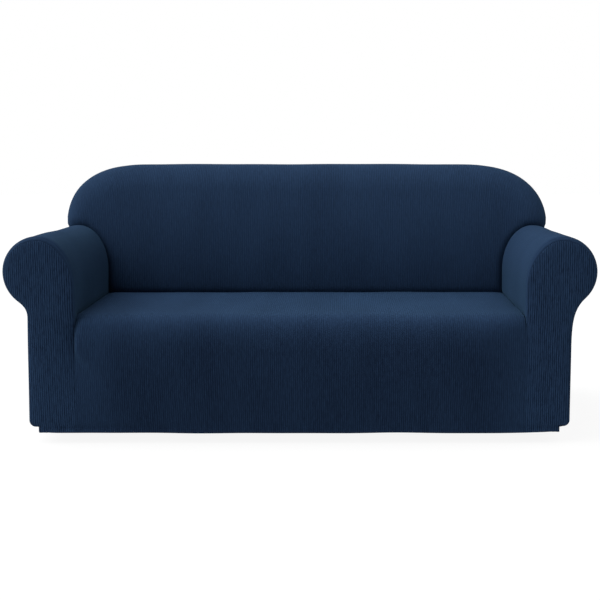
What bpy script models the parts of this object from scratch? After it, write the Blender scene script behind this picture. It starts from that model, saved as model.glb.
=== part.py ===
# Fitted stretch slipcover with a seat for three and rolled arms, hollow and open below.
#
# Sizes are metres. The cover is worked out at its height over the floor, with +X to the right, +Y to
# the back and Y = 0 at the faces of the arms. It is then carried by an empty, so that the world's
# origin lies under the crown of the back, where the cover is held up.
#
# Each panel is a grid of points on its outer face. Neighbours share the points of their seam, and the
# cloth's thickness is laid inward by steps that neighbours share too, so the seams are mitred.

import bpy
import numpy as np

THICKNESS = 0.0025
SEAM_GAP = 0.0003
OFFSET_DAMPING = 0.15

# Overall
SEAT_Z = 0.4375
REAR_Y = 0.900
HEM_Z = 0.036
BODY_BOTTOM_Z = 0.054
HEM_TURN = 0.030
STRIP_X = 0.885
STRIP_TOP_Z = 0.057

# Rolled arms
ARM_IN_X = 0.748
ARM_OUT_X = 0.917
ARM_FLARE = 0.004
ROLL_X = 0.868
ROLL_R = 0.121
ROLL_INNER_RISE = 0.165
ROLL_TOP_Z = 0.7085
ROLL_SLOPE = -0.036
NECK_ANGLE = -50.0
ARM_FRONT_R = 0.024
ARM_REAR_R = 0.026

# Back, with an ear at each side that stands on the roll
BACK_Y = 0.586
RECLINE = 0.24
BACK_TOP_Z = 0.919
BACK_FLAT_X = 0.604
CORNER_WIDTH = 0.330
CORNER_RISE = 0.200
EDGE_REACH = 0.090
EDGE_DEPTH = 0.070

# Seat
SEAT_SIDE_Z = 0.431
SEAT_FRONT_Y = -0.022
SEAT_NOSE_DEPTH = 0.092
SEAT_NOSE_RISE = 0.128
SEAM_END_Z = 0.360
SEAM_TURN = 0.050
GROOVE_WIDTH = 0.050
APRON_TUCK = 0.007

# Panels swell a little between their seams, and are pinched beside the seat's front corners
FRONT_SWELL = 0.005
APRON_SWELL = (0.010, 0.004)
PINCH_Z = 0.375
PINCH_HEIGHT = 0.045
NOSE_Y = 0.070

# Creases between panels, where the cloth is drawn in
CREASE_X = 0.009
CREASE_Y = 0.010
CREASE_Z = 0.010
CREASE_WIDTH = 0.030

# Share of the front rounding that each part of the arm's section takes
FRONT_SHARE = {
    "wall": 0.4, "roll": 1.0, "outer": 0.95, "neck": 0.75, "side": 0.6, "corner": 0.35, "strip": 0.25,
}

# Depth of the crease between the arm and the back, from the inner wall up to the crest
QUADRANT_CREASE = (CREASE_X, 0.013, 0.006)
CREST_CREASE = 0.005
OUTER_CREASE = 0.0015

# The two arms differ a little, as the cloth sits on them
SIDES = {
    "left": {"sign": -1.0, "neck_z": 0.430, "neck_pull": 0.020, "corner": 0.026, "groove": 0.006},
    "right": {"sign": 1.0, "neck_z": 0.365, "neck_pull": 0.050, "corner": 0.018, "groove": 0.002},
}

# Cells of the arm's section, from the seat's seam over the roll to the hem
WALL_CELLS = 2
QUADRANT_CELLS = 5
CREST_CELLS = 2
OUTER_CELLS = 8
NECK_CELLS = 3
SIDE_CELLS = 4
CORNER_CELLS = 3
EAR_ROW = WALL_CELLS + QUADRANT_CELLS + CREST_CELLS
FACE_ROW = WALL_CELLS + QUADRANT_CELLS
LAST_ROW = EAR_ROW + OUTER_CELLS + NECK_CELLS + SIDE_CELLS + CORNER_CELLS + 3

# Cells along the arm, across the edge of the back, and across the wide panels
ROUND_CELLS = 2
ALONG_CELLS = 8
EDGE_CELLS = 4
TOP_CELLS = 2
EAR_CELLS = 4
PANEL_CELLS = (0.0, 0.008, 0.018, 0.034, 0.06)
MIDDLE_CELLS = 20

# Rows of the arm's section where the front panel's top begins and ends
FRONT_FIRST = 5
FRONT_LAST = 11

NAVY = (0.020, 0.042, 0.088, 1.0)
FABRIC_ROUGHNESS = 0.92


def dip(t):
    """Rises from 0 to 1 ever faster. It draws a surface into a crease that stays open."""
    return np.clip(t, 0.0, 1.0) ** 2


def turn(cells):
    """Angles of a quarter turn in even steps."""
    return np.linspace(0.0, np.pi / 2, cells + 1)


def back_face(z):
    return BACK_Y + RECLINE * (z - SEAT_Z)


def roll_top(y):
    return ROLL_TOP_Z + ROLL_SLOPE * y


def edge_profile():
    """Across the edge of the back, from its face to its rear edge.

    Gives the reach inside the outline, the depth behind the face, and the share of the way from the
    rim to the rear plane.
    """
    angle = turn(EDGE_CELLS)
    rear = turn(ROUND_CELLS)[::-1]
    reach = np.concatenate([
        EDGE_REACH * (1.0 - np.sin(angle)),
        np.zeros(TOP_CELLS - 1),
        ARM_REAR_R * (1.0 - np.sin(rear)),
    ])
    depth = np.concatenate([
        EDGE_DEPTH * (1.0 - np.cos(angle)),
        np.full(TOP_CELLS + ROUND_CELLS, EDGE_DEPTH),
    ])
    run = np.concatenate([
        np.zeros(EDGE_CELLS + 1),
        np.linspace(0.0, 1.0, TOP_CELLS + 1)[1:-1],
        np.ones(ROUND_CELLS + 1),
    ])
    past = np.concatenate([
        np.zeros(EDGE_CELLS + TOP_CELLS),
        ARM_REAR_R * np.cos(rear),
    ])
    return reach, depth, run, past


def edge_depth(z):
    """Y across the edge of the back at height z, which is one value or one for each station."""
    reach, depth, run, past = edge_profile()
    rim = back_face(z) + depth
    return rim + run * (REAR_Y - ARM_REAR_R - rim) + past


def ear_seam():
    """X and Y of the ear's seam with the roll, at the stations of the edge's profile."""
    reach = edge_profile()[0]
    x = BACK_FLAT_X + CORNER_WIDTH - reach
    z = roll_top(BACK_Y) - ROLL_R + np.sqrt(ROLL_R**2 - (x - ROLL_X) ** 2)
    return x, edge_depth(z)


def seam_height(y):
    """Height of the seat's seam along the inner arm. It turns down at the front."""
    turned = np.clip((SEAM_TURN - y) / SEAM_TURN, 0.0, 1.0)
    return SEAM_END_Z + (SEAT_SIDE_Z - SEAM_END_Z) * np.sqrt(1.0 - turned**2)


def pinch(side, z):
    """How far the seams beside the seat's front corner lie behind the arm's face."""
    return SIDES[side]["groove"] * np.exp(-(((z - PINCH_Z) / PINCH_HEIGHT) ** 2))


def arm_section(side, y, ear_x):
    """Section of the right arm before its ends are rounded.

    y and ear_x hold a value for each row and column. Gives X and Z, and for each row how far its
    front is drawn in and how deep its crease with the back is.
    """
    own = SIDES[side]
    top = roll_top(y)
    rows_x, rows_z, fronts, creases = [], [], [], []

    def add(first, x, z, front, crease):
        last = first + x.shape[0]
        rows_x.append(x)
        rows_z.append(z)
        fronts.append(np.broadcast_to(np.asarray(front, float), last - first))
        creases.append(np.broadcast_to(np.asarray(crease, float), last - first))
        return last

    # inner wall, drawn in at the seat's seam
    t = (np.arange(WALL_CELLS) / WALL_CELLS)[:, None] ** 1.5
    low, high = seam_height(y[:WALL_CELLS]), top[:WALL_CELLS] - ROLL_INNER_RISE
    z = low + (high - low) * t
    x = ARM_IN_X + CREASE_X * dip(1.0 - (z - low) / CREASE_WIDTH)
    above = t[:, 0] > 0
    row = add(0, x, z, FRONT_SHARE["wall"] * above, CREASE_X * above)

    # inner quadrant, taller than it is wide
    ear_inner = BACK_FLAT_X + CORNER_WIDTH - EDGE_REACH
    last = np.arccos((ear_inner - ROLL_X) / (ARM_IN_X - ROLL_X))
    t = np.linspace(0.0, 1.0, QUADRANT_CELLS + 1)
    angle = (last * t)[:, None]
    span = top[row : row + QUADRANT_CELLS + 1]
    x = ROLL_X + (ARM_IN_X - ROLL_X) * np.cos(angle)
    z = span - ROLL_INNER_RISE * (1.0 - np.sin(angle))
    x = np.broadcast_to(x, z.shape)
    crease = np.interp(t, (0.0, 0.5, 1.0), QUADRANT_CREASE)
    share = np.interp(t, (0.0, 0.7), (FRONT_SHARE["wall"], FRONT_SHARE["roll"]))
    row = add(row, x, z, share, crease)

    # crest, where the ear's front corner stands
    corner_x = ear_seam()[0][1:CREST_CELLS, None]
    span = top[row : row + CREST_CELLS]
    x = np.vstack([np.broadcast_to(corner_x, span[1:].shape), ear_x[EAR_ROW : EAR_ROW + 1]])
    z = span - ROLL_R + np.sqrt(ROLL_R**2 - (x - ROLL_X) ** 2)
    row = add(row, x, z, FRONT_SHARE["roll"], CREST_CREASE)

    # outer roll down to the neck
    t = (np.arange(1, OUTER_CELLS + 1) / OUTER_CELLS)[:, None]
    start = np.arccos((ear_x[row - 1] - ROLL_X) / ROLL_R)
    end = np.radians(NECK_ANGLE)
    angle = start + (end - start) * t
    span = top[row : row + OUTER_CELLS] - ROLL_R
    crease = np.where(np.arange(OUTER_CELLS) == 0, OUTER_CREASE, 0.0)
    share = np.interp(t[:, 0], (0.0, 1.0), (FRONT_SHARE["outer"], FRONT_SHARE["neck"]))
    x, z = ROLL_X + ROLL_R * np.cos(angle), span + ROLL_R * np.sin(angle)
    row = add(row, x, z, share, crease)

    # neck, a Bezier curve from the roll to the upright side
    t = (np.arange(1, NECK_CELLS + 1) / NECK_CELLS)[:, None]
    from_x = ROLL_X + ROLL_R * np.cos(end)
    from_z = span[:1] + ROLL_R * np.sin(end)
    pull = own["neck_pull"]
    points = (
        (from_x, from_z),
        (from_x + pull * np.sin(end), from_z - pull * np.cos(end)),
        (ARM_OUT_X, own["neck_z"] + 1.2 * pull),
        (ARM_OUT_X, own["neck_z"]),
    )
    weights = ((1 - t) ** 3, 3 * t * (1 - t) ** 2, 3 * t**2 * (1 - t), t**3)
    x = sum(w * p[0] for w, p in zip(weights, points)) + 0.0 * span[:1]
    z = sum(w * p[1] for w, p in zip(weights, points))
    share = np.interp(t[:, 0], (0.0, 1.0), (FRONT_SHARE["neck"], FRONT_SHARE["side"]))
    row = add(row, x, z, share, 0.0)

    # side
    corner = own["corner"]
    t = (np.arange(1, SIDE_CELLS + 1) / SIDE_CELLS)[:, None]
    foot = BODY_BOTTOM_Z + corner
    z = own["neck_z"] + (foot - own["neck_z"]) * t + 0.0 * span[:1]
    row = add(row, ARM_OUT_X + ARM_FLARE * t + 0.0 * z, z, FRONT_SHARE["side"], 0.0)

    # bottom corner
    angle = turn(CORNER_CELLS)[1:, None] + 0.0 * span[:1]
    x = ARM_OUT_X + ARM_FLARE - corner * (1.0 - np.cos(angle))
    row = add(row, x, foot - corner * np.sin(angle), FRONT_SHARE["corner"], 0.0)

    # drawn-in strip, hem and the cloth turned under
    x = np.array([STRIP_X, STRIP_X, STRIP_X - HEM_TURN])[:, None] + 0.0 * span[:1]
    z = np.array([STRIP_TOP_Z, HEM_Z, HEM_Z])[:, None] + 0.0 * span[:1]
    add(row, x, z, FRONT_SHARE["strip"], 0.0)

    return np.vstack(rows_x), np.vstack(rows_z), np.concatenate(fronts), np.concatenate(creases)


def drawn_in(x, z, amount):
    """Moves each row inward by its amount, at right angles to the section."""
    along_x, along_z = np.gradient(x, axis=0), np.gradient(z, axis=0)
    length = np.hypot(along_x, along_z)
    in_x, in_z = along_z / length, -along_x / length
    in_x[0], in_z[0] = 1.0, 0.0
    in_x[-3:], in_z[-3:] = -1.0, 0.0
    return x + in_x * amount, z + in_z * amount


def arm_points(side, y, ear_x, front, rear, crease):
    """Outer face of the right arm at each row and column, with its ends rounded.

    front, rear and crease hold each column's share of the rounding at either end and of the crease.
    """
    x, z, front_rows, crease_rows = arm_section(side, y, ear_x)
    rear_rows = front_rows * np.clip((np.arange(len(y)) - EAR_ROW) / 2.0, 0.0, 1.0)
    amount = ARM_FRONT_R * front_rows[:, None] * front
    amount = amount + ARM_REAR_R * rear_rows[:, None] * rear
    amount = amount + crease_rows[:, None] * crease
    x, z = drawn_in(x, z, amount)
    return np.stack([x, y, z], axis=-1)


def arm_row_ends(side):
    """Y where each row of the arm's section meets the back."""
    rows = LAST_ROW + 1
    seam_x, seam_y = ear_seam()
    at_back = np.full((rows, 1), BACK_Y)
    z = arm_section(side, at_back, np.full((rows, 1), seam_x[CREST_CELLS]))[1][:, 0]
    end = back_face(z) + CREASE_Y * np.clip((FACE_ROW - np.arange(rows)) / 3.0, 0.0, 1.0)
    end[0] = back_face(SEAT_SIDE_Z) + CREASE_Y
    end[FACE_ROW : EAR_ROW + 1] = seam_y[: CREST_CELLS + 1]
    end[EAR_ROW:] = seam_y[CREST_CELLS]
    return end


def arm_grids(side):
    """Outer faces of an arm: the part inside the ear's corner, and the part outside it."""
    rows = LAST_ROW + 1
    seam_x, seam_y = ear_seam()
    psi = turn(ROUND_CELLS)
    end = arm_row_ends(side)[:, None]
    y = np.hstack([
        np.broadcast_to(ARM_FRONT_R * (1.0 - np.cos(psi)), (rows, ROUND_CELLS + 1)),
        ARM_FRONT_R
        + (end - CREASE_WIDTH - ARM_FRONT_R) * np.arange(1, ALONG_CELLS + 1) / ALONG_CELLS,
        end - CREASE_WIDTH * (1.0 - np.arange(1, ROUND_CELLS + 1) / ROUND_CELLS),
    ])
    columns = y.shape[1]
    front = np.zeros(columns)
    front[: ROUND_CELLS + 1] = 1.0 - np.sin(psi)
    crease = np.zeros(columns)
    crease[-ROUND_CELLS:] = dip(np.arange(1, ROUND_CELLS + 1) / ROUND_CELLS)
    ear_x = np.full(y.shape, seam_x[CREST_CELLS])
    inside = arm_points(side, y, ear_x, front, 0.0 * front, crease)
    near_front = np.clip(1.0 - y / ARM_FRONT_R, 0.0, 1.0)
    inside[..., 1] += pinch(side, inside[..., 2]) * near_front

    # beyond the ear's corner the columns follow its seam to the rear edge
    beyond = seam_y[CREST_CELLS + 1 :]
    y = np.hstack([y[EAR_ROW], beyond]) + np.zeros((rows, 1))
    ear_x = np.hstack([ear_x, np.broadcast_to(seam_x[CREST_CELLS + 1 :], (rows, len(beyond)))])
    rear = np.zeros(columns + len(beyond))
    rear[-(ROUND_CELLS + 1) :] = 1.0 - np.sin(psi[::-1])
    front = np.concatenate([front, np.zeros(len(beyond))])
    crease = np.concatenate([crease, np.ones(len(beyond))])
    outside = arm_points(side, y, ear_x, front, rear, crease)[EAR_ROW:]
    outside[0, :columns] = inside[EAR_ROW]
    outside[-1, :, 1] = HEM_TURN + outside[-1, :, 1] * (REAR_Y - 2 * HEM_TURN) / REAR_Y

    mirror = np.array([SIDES[side]["sign"], 1.0, 1.0])
    return inside[: EAR_ROW + 1] * mirror, outside * mirror


def across():
    """Share of the way across a wide panel, with more columns near its sides."""
    near = np.array(PANEL_CELLS)
    middle = np.linspace(near[-1], 1.0 - near[-1], MIDDLE_CELLS + 1)[1:-1]
    return np.concatenate([near, middle, 1.0 - near[::-1]])


def filled(first, last, low, high, reach=4):
    """Grid between four curves. Rows run from first to last, and columns from low to high.

    low and high bend the rows near them, and the bend fades within a part of the way.
    """
    shares = np.linalg.norm(low - low[0], axis=1) / np.linalg.norm(low[-1] - low[0])
    s = shares[None, :, None]
    t = np.linspace(0.0, 1.0, len(first))[:, None, None]
    grid = (1 - s) * first[:, None] + s * last[:, None]
    low_bend = low - ((1 - s[0]) * low[0] + s[0] * low[-1])
    high_bend = high - ((1 - s[0]) * high[0] + s[0] * high[-1])
    return grid + (1 - t) ** reach * low_bend + t**reach * high_bend


def apron_side(side, arm):
    """The seam between the seat's front drop and the arm's face, from the seat's seam to the hem."""
    cells = LAST_ROW - FRONT_LAST - FRONT_FIRST
    start = arm[0, 0]
    z = np.concatenate([
        np.linspace(start[2], STRIP_TOP_Z, cells - 1),
        [HEM_Z, HEM_Z],
    ])
    y = pinch(side, z)
    y[-3:] = (APRON_TUCK, 0.5 * APRON_TUCK, HEM_TURN)
    x = np.full_like(z, start[0])
    return np.stack([x, y, z], axis=-1)


def arm_front(inside, outside, apron):
    """Scroll-shaped face of the arm."""
    inner = np.vstack([apron[::-1], inside[1 : FRONT_FIRST + 1, 0]])
    outer = outside[::-1, 0][: len(inner)]
    over = np.vstack([inside[FRONT_FIRST:, 0], outside[1 : FRONT_LAST - EAR_ROW + 1, 0]])
    steps = np.linspace(0.0, 1.0, len(over))[:, None]
    under = inner[0] + (outer[0] - inner[0]) * steps
    grid = filled(inner, outer, under, over)
    rows = np.linspace(0.0, 1.0, len(inner))[:, None]
    columns = np.linspace(0.0, 1.0, len(over))[None, :]
    dome = np.sin(np.pi * columns) * np.sin(np.pi * np.clip((rows - 0.12) / 0.88, 0.0, 1.0))
    grid[..., 1] -= FRONT_SWELL * dome
    grid[2, 1:-1, 1] = APRON_TUCK
    grid[1, 1:-1, 1] = 0.5 * APRON_TUCK
    return grid


def seat_apron(left, right, left_apron, right_apron):
    """Seat deck and front drop in one piece."""
    sides = [
        np.vstack([arm[0, ::-1], apron[1:]])
        for arm, apron in ((left, left_apron), (right, right_apron))
    ]
    deck_rows = left.shape[1]
    y_side = sides[0][:, 1]

    # middle of the panel: level deck, rounded nose, then the drop
    deck = y_side[: deck_rows - ROUND_CELLS]
    level = deck[:-1] + (NOSE_Y - SEAM_TURN / 2) * np.linspace(0.0, 1.0, len(deck) - 1)
    nose = np.linspace(0.0, 1.0, ROUND_CELLS + 4) ** 0.9 * np.pi / 2
    nose_y = SEAT_FRONT_Y + SEAT_NOSE_DEPTH * (1.0 - np.sin(nose))
    nose_z = SEAT_Z - SEAT_NOSE_RISE * (1.0 - np.cos(nose))
    drop_z = sides[0][deck_rows + 3 :, 2]
    drop_z = np.minimum(drop_z, np.linspace(nose_z[-1], BODY_BOTTOM_Z, len(drop_z) + 1)[1:])
    swell_y = (-APRON_SWELL[1], -APRON_SWELL[0], SEAT_FRONT_Y)
    drop_y = np.interp(drop_z, (STRIP_TOP_Z, 0.5 * SEAT_Z, nose_z[-1]), swell_y)
    drop_y[-3:] = (APRON_TUCK - APRON_SWELL[1], 0.0, HEM_TURN)
    drop_z[-3:] = sides[0][-3:, 2]
    middle_y = np.concatenate([level, nose_y, drop_y])
    middle_z = np.concatenate([np.full(len(level), SEAT_Z), nose_z, drop_z])
    middle_z[:ROUND_CELLS] -= CREASE_Z * dip(1.0 - np.arange(ROUND_CELLS) / ROUND_CELLS)
    middle = np.stack([middle_y, middle_z], axis=-1)

    u = across()[None, :]
    near = np.stack([side[:, 0] for side in sides])
    x = (1 - u) * near[0][:, None] + u * near[1][:, None]
    off = np.minimum(u, 1.0 - u) * (near[1] - near[0])[:, None]
    swell = 0.85 * (1.0 - dip(1.0 - off / GROOVE_WIDTH)) + 0.15 * 4 * u * (1 - u)
    swell = np.where(off > 0, swell, 0.0)
    planes = []
    for axis in (1, 2):
        edge = (1 - u) * sides[0][:, axis, None] + u * sides[1][:, axis, None]
        planes.append(edge + (middle[:, axis - 1, None] - edge) * swell)
    return np.stack([x, *planes], axis=-1)


def outline():
    """Outline of the back from the left ear over the top, as X, Z and outward normal."""
    ear = np.linspace(0.0, 45.0, EAR_CELLS)
    near = np.array(PANEL_CELLS)
    corner = 45.0 + 45.0 * np.linspace(0.0, 1.0, len(near))
    angle = np.radians(np.concatenate([ear, corner[1:]]))
    x = BACK_FLAT_X + CORNER_WIDTH * np.cos(angle)
    z = BACK_TOP_Z - CORNER_RISE * (1.0 - np.sin(angle))
    normal = np.stack([CORNER_RISE * np.cos(angle), CORNER_WIDTH * np.sin(angle)])
    normal /= np.hypot(*normal)
    flat = np.linspace(-BACK_FLAT_X, BACK_FLAT_X, MIDDLE_CELLS + 1)[1:-1]
    x = np.concatenate([-x, flat, x[::-1]])
    z = np.concatenate([z, np.full(len(flat), BACK_TOP_Z), z[::-1]])
    normal_x = np.concatenate([-normal[0], np.zeros(len(flat)), normal[0][::-1]])
    normal_z = np.concatenate([normal[1], np.ones(len(flat)), normal[1][::-1]])
    return x, z, normal_x, normal_z


def back_edge(left, right):
    """Edge of the back, from its face over the rim to the rear edge, from ear to ear."""
    x, z, normal_x, normal_z = (part[:, None] for part in outline())
    reach = edge_profile()[0][None, :]
    z = z - normal_z * reach
    arch = np.stack([x - normal_x * reach, edge_depth(z), z], axis=-1)
    ends = []
    for inside, outside in (left, right):
        first = inside[FACE_ROW : EAR_ROW + 1, -1]
        ends.append(np.vstack([first, outside[0, inside.shape[1] :]]))
    return np.concatenate([ends[0][None], arch, ends[1][None]])


def inside_back(left, right, edge, seat):
    """Face of the back between the arms and inside the edge."""
    side_rows = [arm[0][: FACE_ROW + 1, -1] for arm in (left, right)]
    first = np.vstack([side_rows[0], edge[1 : EAR_CELLS + 1, 0]])
    last = np.vstack([side_rows[1], edge[::-1][1 : EAR_CELLS + 1, 0]])
    over = edge[EAR_CELLS : len(edge) - EAR_CELLS, 0]
    grid = filled(first, last, seat[0], over, reach=2)
    x, z = grid[..., 0], grid[..., 2]
    rows = np.arange(len(grid))[:, None]
    fade = np.clip((FACE_ROW - rows) / 3.0, 0.0, 1.0)
    beside = np.minimum(x - x[:, :1], x[:, -1:] - x)
    above = z - z[:1]
    crease = np.maximum(
        fade * dip(1.0 - beside / CREASE_WIDTH),
        dip(1.0 - above / CREASE_WIDTH),
    )
    y = back_face(z) + CREASE_Y * crease
    inner = (slice(1, -1), slice(1, -1))
    grid[inner][..., 1] = y[inner]
    return grid


def outside_back(left, right, edge):
    """Rear panel, from the rear edge of the back down to the hem."""
    top = edge[EAR_CELLS : len(edge) - EAR_CELLS, -1]
    first = np.vstack([left[1][::-1, -1], edge[1 : EAR_CELLS + 1, -1]])
    last = np.vstack([right[1][::-1, -1], edge[::-1][1 : EAR_CELLS + 1, -1]])
    bottom = first[0] + (last[0] - first[0]) * across()[:, None]
    return filled(first, last, bottom, top)


def cell_list(rows, columns):
    index = np.arange(rows * columns).reshape(rows, columns)
    corners = (index[:-1, :-1], index[:-1, 1:], index[1:, 1:], index[1:, :-1])
    return np.stack(corners, axis=-1).reshape(-1, 4)


def cell_normals(points, cells):
    a, b, c, d = (points[cells[:, n]] for n in range(4))
    return np.cross(c - a, d - b)


def welded(grids, outward):
    """Joins the grids of one panel. outward holds a direction that each grid faces."""
    points, cells, start = [], [], 0
    for grid, hint in zip(grids, outward):
        flat = grid.reshape(-1, 3)
        own = cell_list(*grid.shape[:2])
        if cell_normals(flat, own).sum(axis=0) @ np.array(hint) < 0:
            own = own[:, [0, 3, 2, 1]]
        points.append(flat)
        cells.append(own + start)
        start += len(flat)
    points, cells = np.vstack(points), np.vstack(cells)
    _, first, same = np.unique(np.round(points, 6), axis=0, return_index=True, return_inverse=True)
    return points[first], same.reshape(-1)[cells]


def cover_panels():
    left, right = arm_grids("left"), arm_grids("right")
    left_apron, right_apron = apron_side("left", left[0]), apron_side("right", right[0])
    seat = seat_apron(left[0], right[0], left_apron, right_apron)
    edge = back_edge(left, right)
    face = inside_back(left, right, edge, seat)
    rear = outside_back(left, right, edge)
    left_front = arm_front(*left, left_apron)
    right_front = arm_front(*right, right_apron)
    return {
        "inside_back": welded((face, edge), ((0, -1, 0), (0, -0.3, 1))),
        "outside_back": welded((rear,), ((0, 1, 0),)),
        "seat_apron": welded((seat,), ((0, -1, 1),)),
        "arm_wrap_left": welded(left, ((1, 0, 1), (-1, 0, 0.2))),
        "arm_wrap_right": welded(right, ((-1, 0, 1), (1, 0, 0.2))),
        "arm_front_left": welded((left_front,), ((0, -1, 0),)),
        "arm_front_right": welded((right_front,), ((0, -1, 0),)),
    }


def shared_offsets(panels):
    """Outward step at each panel's points that clears each cell around it by one thickness.

    It is the same on both sides of a seam. It solves normal . step = 1 for the cells that meet at the
    point, by least squares, and a little damping keeps it short in a sharp fold.
    """
    everywhere = np.vstack([points for points, _ in panels.values()])
    _, same = np.unique(np.round(everywhere, 6), axis=0, return_inverse=True)
    same = same.reshape(-1)
    pairs = np.tile(OFFSET_DAMPING * np.eye(3), (same.max() + 1, 1, 1))
    total = np.zeros((same.max() + 1, 3))
    start = 0
    for points, cells in panels.values():
        normals = cell_normals(points, cells)
        normals /= np.linalg.norm(normals, axis=1)[:, None]
        for corner in range(4):
            here = same[start + cells[:, corner]]
            np.add.at(total, here, normals)
            np.add.at(pairs, here, normals[:, :, None] * normals[:, None, :])
        start += len(points)
    steps = np.linalg.solve(pairs, total[:, :, None])[same, :, 0]
    ends = np.cumsum([len(points) for points, _ in panels.values()])[:-1]
    return dict(zip(panels, np.split(steps, ends)))


def rim_edges(cells):
    """Edges of the panel's outline, each in the direction of its cell, and the cells they bound."""
    edges = np.concatenate([cells[:, [n, (n + 1) % 4]] for n in range(4)])
    key = np.sort(edges, axis=1)
    _, first, count = np.unique(key, axis=0, return_index=True, return_counts=True)
    return edges[first[count == 1]], first[count == 1] % len(cells)


def rim_faces(points, cells):
    """Triangles between the two faces of the sheet, split alike on both sides of a seam."""
    rim = rim_edges(cells)[0]
    count = len(points)
    low, high = rim[:, 0], rim[:, 1]
    rising = points @ np.array([0.1, 0.3, -1.0])
    forward = (rising[low] < rising[high])[:, None]
    first = np.where(
        forward,
        np.stack([high, low, high + count], axis=-1),
        np.stack([high, low, low + count], axis=-1),
    )
    second = np.where(
        forward,
        np.stack([low, low + count, high + count], axis=-1),
        np.stack([high, low + count, high + count], axis=-1),
    )
    return np.vstack([first, second])


def parted(points, cells):
    """Draws the panel's outline in by half of the seam's gap, across each edge of the outline."""
    normals = cell_normals(points, cells)
    rim, owner = rim_edges(cells)
    inward = np.cross(normals[owner], points[rim[:, 1]] - points[rim[:, 0]])
    inward /= np.linalg.norm(inward, axis=1)[:, None]
    total = np.zeros_like(points)
    for end in (0, 1):
        np.add.at(total, rim[:, end], inward)
    length = np.linalg.norm(total, axis=1)
    moved = length > 0
    step = np.zeros_like(points)
    step[moved] = total[moved] / length[moved][:, None]
    # a corner of the outline moves further, so that both of its edges keep the gap
    half = 0.5 * SEAM_GAP * 2.0 / np.maximum(length, 1.0)
    return points + step * half[:, None]


def fabric(name):
    material = bpy.data.materials.new(name + "_fabric")
    material.use_nodes = True
    shader = material.node_tree.nodes["Principled BSDF"]
    shader.inputs["Base Color"].default_value = NAVY
    shader.inputs["Roughness"].default_value = FABRIC_ROUGHNESS
    shader.inputs["Metallic"].default_value = 0.0
    material.diffuse_color = NAVY
    return material


def panel_object(name, points, cells, steps, collection, carrier):
    """Closed sheet of the panel, with its thickness on the hollow's side."""
    outer = parted(points, cells)
    inner = outer - steps * THICKNESS
    count = len(points)
    # both faces of the sheet are split along the same diagonals, so it keeps its thickness
    halves = np.vstack([cells[:, [0, 1, 2]], cells[:, [0, 2, 3]]])
    faces = np.vstack([halves, halves[:, ::-1] + count, rim_faces(points, cells)])
    mesh = bpy.data.meshes.new(name)
    mesh.from_pydata(np.vstack([outer, inner]).tolist(), [], faces.tolist())
    mesh.update()
    mesh.shade_smooth()
    mesh.materials.append(fabric(name))
    panel = bpy.data.objects.new(name, mesh)
    panel.parent = carrier
    collection.objects.link(panel)


def clear_scene():
    for item in list(bpy.data.objects):
        bpy.data.objects.remove(item, do_unlink=True)


def build():
    clear_scene()
    collection = bpy.data.collections.new("sofa_slipcover")
    bpy.context.scene.collection.children.link(collection)
    crown_y = 0.5 * (edge_depth(BACK_TOP_Z)[EDGE_CELLS] + REAR_Y - ARM_REAR_R)
    carrier = bpy.data.objects.new("crown_origin", None)
    carrier.location = (0.0, -crown_y, THICKNESS - BACK_TOP_Z)
    collection.objects.link(carrier)
    panels = cover_panels()
    steps = shared_offsets(panels)
    for name, (points, cells) in panels.items():
        panel_object(name, points, cells, steps[name], collection, carrier)


build()
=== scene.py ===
# Fitted stretch slipcover with a seat for three and rolled arms, in ribbed navy knit.
#
# Shapes are worked out in metres at the cover's height over the floor: +X to the right, +Y to the
# back, and Y = 0 at the faces of the arms. The last step carries them into the frame's place.
# Every panel is a grid of points on its outer face, and neighbours share the points of their seam.

import math

import bpy
import numpy as np
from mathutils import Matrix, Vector


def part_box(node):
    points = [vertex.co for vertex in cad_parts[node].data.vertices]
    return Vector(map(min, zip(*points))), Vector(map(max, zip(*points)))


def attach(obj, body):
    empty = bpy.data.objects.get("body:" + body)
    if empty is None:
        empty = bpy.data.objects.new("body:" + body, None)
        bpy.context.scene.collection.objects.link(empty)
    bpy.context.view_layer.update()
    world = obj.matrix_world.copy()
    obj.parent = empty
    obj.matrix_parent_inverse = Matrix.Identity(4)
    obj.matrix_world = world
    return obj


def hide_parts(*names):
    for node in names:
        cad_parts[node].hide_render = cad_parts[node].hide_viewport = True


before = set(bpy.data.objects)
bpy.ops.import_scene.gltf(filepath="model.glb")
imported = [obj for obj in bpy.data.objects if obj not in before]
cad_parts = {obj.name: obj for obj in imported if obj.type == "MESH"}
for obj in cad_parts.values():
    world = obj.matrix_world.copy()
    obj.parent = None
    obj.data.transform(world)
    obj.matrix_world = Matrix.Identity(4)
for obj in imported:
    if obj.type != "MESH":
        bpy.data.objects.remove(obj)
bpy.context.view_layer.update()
print("frame loaded")

cover = {
    "thickness": 0.0025,
    "hemZ": 0.036,
    "bodyBottomZ": 0.054,  # where the body ends over the drawn-in strip
    "stripTopZ": 0.057,
    "hemTurn": 0.030,  # cloth turned under at the hem
    "hemRound": 0.003,
    "rearY": 0.900,
    "crease": 0.026,  # reach of the dip beside a crease
    "stepDamping": 0.15,  # keeps the step through the cloth short where cells meet at a sharp angle
    "tuckLeast": 0.0008,  # depth of the crease over the strip, away from its bells
    "tuckBells": ((0.0060, -0.79, 0.09), (0.0025, -0.60, 0.22), (0.0050, 0.82, 0.09)),  # depth, X, reach
    "tuckAbove": 0.009,
    "tuckBelow": 0.012,
}

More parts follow.
